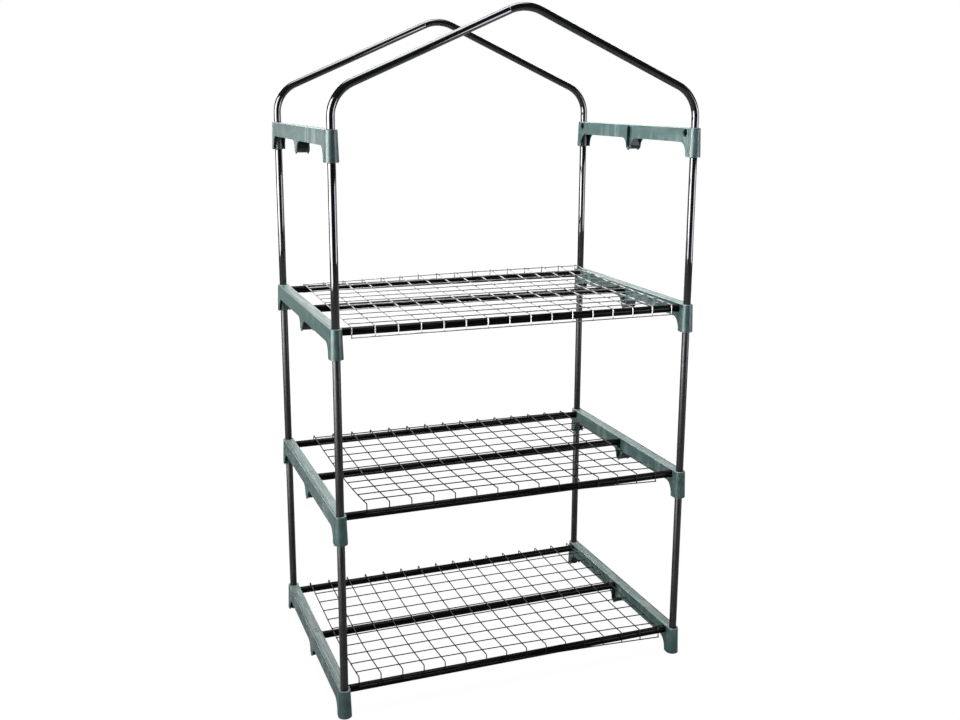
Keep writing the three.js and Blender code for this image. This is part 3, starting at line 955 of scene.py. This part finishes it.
    def _add_sleeve_and_bosses(self, carving: Carving) -> None:
        """Joins the middle sleeve, the post sockets, the bosses of the end seats and the rim round the slot.

        Args:
            carving: The connector so far.
        """
        half_wall = self.wall_recess + self.wall / 2
        sleeve_half = self.seat_radius + self.seat_wall
        web_middle = self.height - self.web / 2
        sleeve = self._slot_solid(self.seat_wall, 0.0)
        for vert in sleeve.verts:
            vert.co.z = min(vert.co.z, web_middle)
            vert.co.x *= self.half_width(vert.co.z) - half_wall
        carving.join(sleeve)
        boss_foot = self.rail_rise - sleeve_half
        for end in End:
            post = (0, end.value * self.layout.post_y, web_middle / 2)
            carving.join(drum(self.socket_radius, post, web_middle))
            inner = end.value * (self.outer_rail_y - sleeve_half)
            near, far = sorted((inner, end.value * self.layout.post_y))
            carving.join(self._leaning_block(half_wall, (near, boss_foot), (far, web_middle)))
        rim = self._slot_solid(self.rim_width, 0.0)
        for vert in rim.verts:
            vert.co.z = min(vert.co.z, self.height - self.top_round)
            proud = self.half_width(vert.co.z) - self.wall_recess + self.rim_height
            vert.co.x = proud if vert.co.x > 0 else proud - self.rim_height - self.wall / 2
        carving.join(rim)

    def _slot_solid(self, grow: float, nub: float) -> BMesh:
        """Makes the outline of the middle slot as a solid along X.

        Args:
            grow: How far it stands out past the slot's own edge.
            nub: How far the nubs reach in between the two seats.

        Returns:
            The solid, from X -1 to X 1, to be scaled.
        """
        middle = (self.spare_seat_rise + self.rail_rise) / 2
        bm = drum(self.seat_radius + grow, (0, 0, middle), 2.0, ALONG_X)
        lift = (self.rail_rise - self.spare_seat_rise) / 2
        for vert in bm.verts:
            vert.co.z += lift if vert.co.z > middle else -lift
        for rise in (self.nub_rise - self.nub_height / 2, self.nub_rise, self.nub_rise + self.nub_height / 2):
            split_at(bm, (0, 0, rise), (0, 0, 1))
        for vert in bm.verts:
            if abs(vert.co.z - self.nub_rise) < SAME:
                vert.co.y -= math.copysign(nub, vert.co.y)
        return bm

    def _bore_seats(self, carving: Carving) -> None:
        """Bores the post sockets, the seats of the rails and the middle slot.

        Args:
            carving: The connector so far.
        """
        reach = self.half_width(0.0) + self.overrun
        slot = self._slot_solid(0.0, self.nub_reach)
        for vert in slot.verts:
            vert.co.x = reach if vert.co.x > 0 else self.rail_stop
        carving.cut(slot)
        for end in End:
            post = (0, end.value * self.layout.post_y)
            depth = self.socket_depth + self.overrun
            for middle in (self.socket_depth - depth / 2, self.height - self.socket_depth + depth / 2):
                carving.cut(drum(self.seat_radius, (*post, middle), depth))
            length = reach - self.rail_stop
            centre = (self.rail_stop + length / 2, end.value * self.outer_rail_y, self.rail_rise)
            carving.cut(drum(self.seat_radius, centre, length, ALONG_X))

    def _score_lines(self, carving: Carving, side: Side) -> None:
        """Cuts the moulded lines into the web: one along its outer edge and a pair across its middle.

        Args:
            carving: The connector so far.
            side: The side that the connector goes to.
        """
        half = self.half_width(self.height)
        floor = self.height - self.line_depth
        top = self.height + self.overrun
        reach = self.layout.post_y - self.line_end_gap
        outer_x = -half + self.line_inset
        half_line = self.line_width / 2
        carving.cut(box_between((outer_x, -reach, floor), (outer_x + self.line_width, reach, top)))
        for place in self.cross_lines:
            middle = -side.value * place
            low = (outer_x + 2 * self.line_width, middle - half_line, floor)
            carving.cut(box_between(low, (half + self.overrun, middle + half_line, top)))

    def _ease(self, bm: BMesh) -> BMesh:
        """Merges the carved solid's flat faces, rounds its edges, marks its eased edges for wear and painted highlight,
        and marks how much painted shade each hollow gets.

        Args:
            bm: The carved solid.

        Returns:
            The same solid, eased.
        """
        tidy_cuts(bm)
        sharp = [edge for edge in bm.edges if edge.is_manifold and edge.calc_face_angle(0.0) > self.edge_angle]
        round_edges(bm, sharp, self.edge_round, 3, clamp=True)
        # Lighter eased edges, partly wear and partly a painted highlight, full on the inner side
        wear = bm.verts.layers.float.new("edge_wear")
        narrow = 0.55 * self.top_round
        slim = {face for face in bm.faces if face.calc_area() < narrow * max(edge.calc_length() for edge in face.edges)}
        # Painted shade, by how deep each point lies in a hollow
        hollow = bm.verts.layers.float.new("hollow")
        for vert in bm.verts:
            eased = all(face in slim for face in vert.link_faces)
            vert[wear] = (1.0 if vert.co.x > 0 else self.outer_wear_and_highlight) if eased else 0.0
            vert[hollow] = self._painted_shade_depth(vert.co)
        return bm

    def _painted_shade_depth(self, place: Vector) -> float:
        """Tells how much painted shade a point gets, by how deep in a hollow of the moulding it lies.

        Args:
            place: The point.

        Returns:
            From 0 on the outside to 1 deep inside the channel, a socket or a seat.
        """
        edge = self.height - self.side_depth
        wall_face = self.half_width(place.z) - self.wall_recess
        in_channel = abs(place.x) < wall_face - 0.6 * self.wall and abs(place.y) < self.layout.post_y
        if in_channel and place.z < self.height - self.web / 2 and not self._in_seat(place):
            deepening = (self.roof_painted_shade - self.mouth_painted_shade) * max(0.0, place.z) / edge
            return min(1.0, self.mouth_painted_shade + deepening)
        inside_mouth = place.x < wall_face - 0.3 * MM
        if inside_mouth and self._in_seat(place):
            return 1.0
        if self._in_line(place):
            return self.line_painted_shade
        post = math.hypot(place.x, abs(place.y) - self.layout.post_y)
        ease = self.edge_round + 0.1 * MM
        if post < self.seat_radius + 0.02 * MM and ease < place.z < self.height - ease:
            return self.socket_painted_shade
        return 0.0

    def _in_line(self, place: Vector) -> bool:
        """Tells whether a point lies in one of the lines moulded into the web.

        Args:
            place: The point.

        Returns:
            True if it does.
        """
        sunk = self.height - self.line_depth - 0.05 * MM < place.z < self.height - 0.3 * MM
        line_x = -self.half_width(self.height) + self.line_inset + self.line_width / 2
        along = abs(place.x - line_x) < self.line_width
        across = any(abs(abs(place.y) - line_y) < self.line_width for line_y in self.cross_lines)
        return sunk and abs(place.x) < abs(line_x) + self.line_width and (along or across)

    def _in_seat(self, place: Vector) -> bool:
        """Tells whether a point lies on or in a rail's seat.

        Args:
            place: The point.

        Returns:
            True if it does.
        """
        if place.x < self.rail_stop - 0.01 * MM:
            return False
        rails = [(y, self.rail_rise) for y in (0.0, self.outer_rail_y, -self.outer_rail_y)]
        axes = [(0.0, self.spare_seat_rise), *rails]
        near = self.seat_radius + 0.05 * MM
        between = abs(place.y) < near and self.spare_seat_rise < place.z < self.rail_rise
        return between or any(math.hypot(place.y - y, place.z - z) < near for y, z in axes)


# Wire mesh shelves

# How each mesh lies: shares of the ride-up at the left and right end of its front edge, then of its rear edge,
# and its share of the racking
LAY_SHARES = {
    Level.BOTTOM: ((1.0, 0.0), (0.13, 0.13), 0.5),
    Level.MIDDLE: ((0.87, 0.13), (0.29, 0.1), 0.25),
    Level.TOP: ((0.0, 0.0), (0.06, 0.74), 1.0),
}


@dataclass
class MeshShelves(SubAssembly):
    """The mesh shelves: round wires welded square, with the front and rear edges bent down over the rails.

    They lie as the frame's meshes do: bowed from the middle rail up to their outer edges, and racked.
    """

    wire_radius: float = 1.1 * MM
    cell: float = 40.6 * MM
    rest_gap: float = 0.3 * MM
    lip_depth: float = 18 * MM
    ride_up: float = 15.5 * MM
    rack: float = 12 * MM
    fusion: float = 0.35 * MM
    bend_radius: float = 3.0 * MM
    bend_steps: int = 4
    sides: int = 8
    weld_radius: float = 1.75 * MM
    levels: tuple[Level, ...] = SHELF_LEVELS

    def build(self) -> None:
        """Builds the shelves."""
        for level in self.levels:
            node = f"mesh_shelf_{level.value}"
            bm = bmesh.new()
            bm.verts.layers.float.new("weld")
            self._weave(bm, node, level)
            self._lay(bm, node, level)
            bmesh.ops.recalc_face_normals(bm, faces=bm.faces)
            self.add(bm, node, math.radians(60))

    def _half_x(self, node: str) -> float:
        """Gives how far a shelf's last wires lie from its middle, at its front edge."""
        return -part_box(node)[0].x - self.wire_radius

    def _lay(self, bm: BMesh, node: str, level: Level) -> None:
        """Bows and racks a flat, square shelf.

        Args:
            bm: The shelf.
            node: Its node.
            level: Its level.
        """
        half_x = self._half_x(node)
        bend_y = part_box(node)[1].y - 2 * self.wire_radius
        front_shares, rear_shares, rack_share = LAY_SHARES[level]
        for vert in bm.verts:
            reach = max(-1.0, min(1.0, vert.co.y / bend_y))
            left_share, right_share = front_shares if reach < 0 else rear_shares
            from_left = (vert.co.x / half_x + 1) / 2
            from_high_end = from_left if left_share > right_share else 1 - from_left
            share = min(left_share, right_share) + abs(left_share - right_share) * (1 - from_high_end**2)
            vert.co.z += self.ride_up * share * reach**2
            vert.co.x += self.rack * rack_share * (1 + reach) / 2

    def _weave(self, bm: BMesh, node: str, level: Level) -> None:
        """Lays the wires of one shelf and their welds.

        Args:
            bm: The mesh that gets them.
            node: The shelf's node.
            level: The shelf's level.
        """
        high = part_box(node)[1]
        half_x = self._half_x(node)
        cells = round(2 * half_x / self.cell)
        columns = [-half_x + 2 * half_x * index / cells for index in range(cells + 1)]
        rail_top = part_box(tube_nodes("shelf_rail", (level,))[0])[1].z
        seat_z = rail_top + self.rest_gap + self.wire_radius
        lip_y = high.y - self.wire_radius
        foot_z = seat_z - self.wire_radius - self.lip_depth
        rows = math.floor((lip_y - 2 * self.wire_radius) / self.cell)
        row_ys = [self.cell * index for index in range(-rows, rows + 1)]
        for x in columns:
            stations = self._long_wire(x, row_ys, lip_y, seat_z, foot_z)
            sweep(bm, self.wire_radius, self.sides, stations, capped=True)
        crossing_z = seat_z + 2 * self.wire_radius - self.fusion
        lip_z = foot_z + self.wire_radius
        crossings = [(y, crossing_z, y, (seat_z + crossing_z) / 2) for y in row_ys]
        for end in End:
            outer_y = end.value * (lip_y + 2 * self.wire_radius - self.fusion)
            crossings.append((outer_y, lip_z, end.value * (lip_y + self.wire_radius), lip_z))
        for wire_y, wire_z, weld_y, weld_z in crossings:
            self._cross_wire(bm, columns, wire_y, wire_z)
            for x in columns:
                self._weld(bm, (x, weld_y, weld_z))

    def _long_wire(self, x: float, row_ys: list[float], lip_y: float, seat_z: float, foot_z: float) -> list[Matrix]:
        """Lays out a front-to-rear wire, bent down at both ends.

        Args:
            x: Its place across the shelf.
            row_ys: Where it is crossed.
            lip_y: How far from the middle its bent ends hang.
            seat_z: The height of its flat stretch.
            foot_z: The height of its ends.

        Returns:
            Its stations, from the front end to the rear one.
        """
        corner_y = lip_y - self.bend_radius
        corner_z = seat_z - self.bend_radius
        front = [(-lip_y, foot_z, 0.0)]
        for step in range(self.bend_steps + 1):
            turned = math.pi / 2 * step / self.bend_steps
            y = -corner_y - self.bend_radius * math.cos(turned)
            z = corner_z + self.bend_radius * math.sin(turned)
            front.append((y, z, turned))
        flat = [(y, seat_z, math.pi / 2) for y in row_ys]
        rear = [(-y, z, math.pi - turned) for y, z, turned in reversed(front)]
        path = [*front, *flat, *rear]
        return [Matrix.Translation((x, y, z)) @ Matrix.Rotation(-turned, 4, "X") for y, z, turned in path]

    def _cross_wire(self, bm: BMesh, columns: Sequence[float], y: float, z: float) -> None:
        """Adds a straight wire across the shelf at a depth and a height, with a station at each column."""
        stations = [Matrix.Translation((x, y, z)) @ ALONG_X for x in columns]
        sweep(bm, self.wire_radius, self.sides, stations, capped=True)

    def _weld(self, bm: BMesh, place: Sequence[float]) -> None:
        """Adds the squeezed metal of one weld.

        Args:
            bm: The mesh that gets it.
            place: Its middle.
        """
        at = Matrix.Translation(place)
        made = bmesh.ops.create_icosphere(bm, subdivisions=1, radius=self.weld_radius, matrix=at)
        weld = bm.verts.layers.float["weld"]
        for vert in made["verts"]:
            vert[weld] = 1.0


# Studio


@dataclass(frozen=True)
class PhotoCamera:
    """A camera at the photograph's place."""

    place: Vector = Vector((-0.73367, -1.97790, 1.08391))
    yaw: float = 0.3770
    pitch: float = 0.2146
    roll: float = -0.0079
    lens: float = 41.256
    shift_x: float = -0.0208
    shift_y: float = -0.0260

    def build(self) -> None:
        """Makes the camera and sets it as the scene's."""
        data = bpy.data.cameras.new("camera")
        data.lens = self.lens
        data.shift_x = self.shift_x
        data.shift_y = self.shift_y
        data.clip_start = 0.05
        data.clip_end = 60.0
        camera = placed("camera", data)
        turn = (
            Matrix.Rotation(-self.yaw, 4, "Z")
            @ Matrix.Rotation(math.pi / 2 - self.pitch, 4, "X")
            @ Matrix.Rotation(-self.roll, 4, "Z")
        )
        camera.matrix_world = Matrix.Translation(self.place) @ turn
        bpy.context.scene.camera = camera


@dataclass(frozen=True)
class Softbox:
    """A rectangular lamp, or a card that only reflections see."""

    name: str
    place: Vector
    aim: Vector
    width: float
    height: float
    radiance: float
    colour: Colour = WHITE
    only_in_reflections: bool = False
    spread: float = math.pi

    def build(self) -> None:
        """Makes the lamp. Its power follows from its radiance and its size."""
        data = bpy.data.lights.new(self.name, "AREA")
        data.shape = "RECTANGLE"
        data.size = self.width
        data.size_y = self.height
        data.energy = self.radiance * math.pi * self.width * self.height
        data.color = self.colour
        data.spread = self.spread
        lamp = placed(self.name, data)
        facing = (self.aim - self.place).to_track_quat("-Z", "Y").to_matrix().to_4x4()
        lamp.matrix_world = Matrix.Translation(self.place) @ facing
        lamp.visible_camera = False
        if self.only_in_reflections:
            lamp.visible_diffuse = False
            lamp.visible_transmission = False


@dataclass(frozen=True)
class Studio:
    """A plain white set: a floor that keeps a soft shadow, a white surround and softboxes."""

    floor_half: float = 6.0
    shadow_from: float = 0.85
    shadow_to: float = 1.9
    shadow_share: float = 0.07
    floor_glow: float = 1.05
    floor_colour: Colour = (0.62, 0.62, 0.62)
    ambient: float = 0.08
    ambient_in_gloss: float = 0.05
    centre: Vector = Vector((0.0, 0.0, 0.62))
    key_aim: Vector = Vector((0.0, 0.0, 1.03))

    def build(self) -> None:
        """Makes the floor, the surround and the lamps."""
        self._floor()
        self._surround()
        for lamp in self._lamps():
            lamp.build()

    def _lamps(self) -> list[Softbox]:
        """Lists the lamps.

        Returns:
            The lamps.
        """
        aim = self.centre
        return [
            Softbox("key", Vector((-2.3, -0.1, 1.15)), self.key_aim, 1.2, 1.4, 0.68, WHITE, False, math.radians(44)),
            Softbox("overhead", Vector((-0.2, 0.2, 3.2)), aim, 1.8, 1.8, 6.8),
            Softbox("fill", Vector((2.3, 0.8, 1.3)), aim, 1.4, 1.8, 1.5),
            Softbox("left_strip", Vector((-2.5, -0.75, 0.9)), aim, 2.1, 3.0, 11.0, WHITE, True),
            Softbox("right_card", Vector((1.7, -1.3, 0.8)), self.key_aim, 1.2, 0.9, 7.0, (0.91, 0.86, 1.0), True),
            Softbox("back_card", Vector((0.5, 2.7, 1.85)), aim, 3.2, 0.9, 4.0, WHITE, True),
            Softbox("side_card", Vector((-1.45, 2.6, 0.85)), aim, 0.7, 1.1, 2.4, WHITE, True),
        ]

    def _floor(self) -> None:
        """Makes the floor: plain pale paint that the camera sees as white, with the object's soft shadow."""
        tree = Shading(bpy.data.materials.new("floor_paint"))
        fine = tree.noise(tree.place, 3.0, 2.0)
        low, high = (tuple(value * share for value in self.floor_colour) for share in (0.995, 1.005))
        colour = tree.blend(fine, low, high)
        finish = {"Base Color": colour, "Roughness": 0.9, "Specular IOR Level": 0.1}
        paint = tree.add("ShaderNodeBsdfPrincipled", finish)
        white = tree.add("ShaderNodeEmission", {"Color": WHITE, "Strength": self.floor_glow})
        distance = tree.add("ShaderNodeVectorMath", {0: tree.place}, operation="LENGTH").outputs["Value"]
        glow = tree.ranged(distance, self.shadow_from, self.shadow_to, 1.0 - self.shadow_share, 1.0)
        directly = tree.add("ShaderNodeLightPath").outputs["Is Camera Ray"]
        seen = tree.maths("MULTIPLY", glow, directly)
        mixed = tree.add("ShaderNodeMixShader", {0: seen, 1: paint.outputs[0], 2: white.outputs[0]})
        tree.add("ShaderNodeOutputMaterial", {"Surface": mixed.outputs[0]})
        bm = bmesh.new()
        bmesh.ops.create_grid(bm, x_segments=1, y_segments=1, size=self.floor_half)
        floor = placed("floor", mesh_of(bm, "floor"))
        floor.data.materials.append(tree.owner)

    def _surround(self) -> None:
        """Makes the white surround, which lights the object with only part of its strength."""
        world = bpy.data.worlds.new("surround")
        bpy.context.scene.world = world
        tree = Shading(world)
        path = tree.add("ShaderNodeLightPath").outputs
        dimmed = tree.ranged(path["Is Glossy Ray"], 0.0, 1.0, self.ambient, self.ambient_in_gloss)
        strength = tree.ranged(path["Is Camera Ray"], 0.0, 1.0, dimmed, 1.0)
        back = tree.add("ShaderNodeBackground", {"Color": WHITE, "Strength": strength})
        tree.add("ShaderNodeOutputWorld", {"Surface": back.outputs[0]})


def tube_nodes(kind: str, levels: Sequence[Level]) -> list[str]:
    """Lists the nodes of a kind, upright or shelf_rail, at some levels."""
    names = [name for name in sorted(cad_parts) if name.startswith(kind)]
    return [name for name in names if name.rsplit("_", 1)[-1] in {level.value for level in levels}]


def main() -> None:
    """Builds the greenhouse and the set round it."""
    logging.basicConfig(level=logging.INFO, format="%(message)s")
    bpy.context.scene.view_settings.view_transform = "Standard"
    PhotoCamera().build()
    layout = Layout.of_frame()
    gloss = GLOSS_ENAMEL.material()
    lower = (Level.BOTTOM, Level.MIDDLE)
    assemblies = [
        SideConnectors(layout, CONNECTOR_PLASTIC.material(), "connector_plastic"),
        StraightTubes(layout, gloss, "gloss_enamel", nodes=tube_nodes("upright", (Level.TOP,))),
        StraightTubes(layout, SATIN_ENAMEL.material(), "satin_enamel", nodes=tube_nodes("upright", lower)),
        StraightTubes(layout, RAIL_ENAMEL.material(), "rail_enamel", nodes=tube_nodes("shelf_rail", SHELF_LEVELS)),
        RoofArches(layout, gloss, "gloss_enamel"),
        # One wire, as a painted-lit copy on the top shelf and a painted-shade copy on the lower shelves
        MeshShelves(layout, TOP_WIRE_PAINTED_LIT.material(), "mesh_wire", levels=(Level.TOP,)),
        MeshShelves(layout, LOWER_WIRE_PAINTED_SHADE.material(), "mesh_wire", levels=lower),
    ]
    for assembly in assemblies:
        assembly.build()
        assembly.dress()
    Studio().build()


if __name__ == "__main__":
    main()
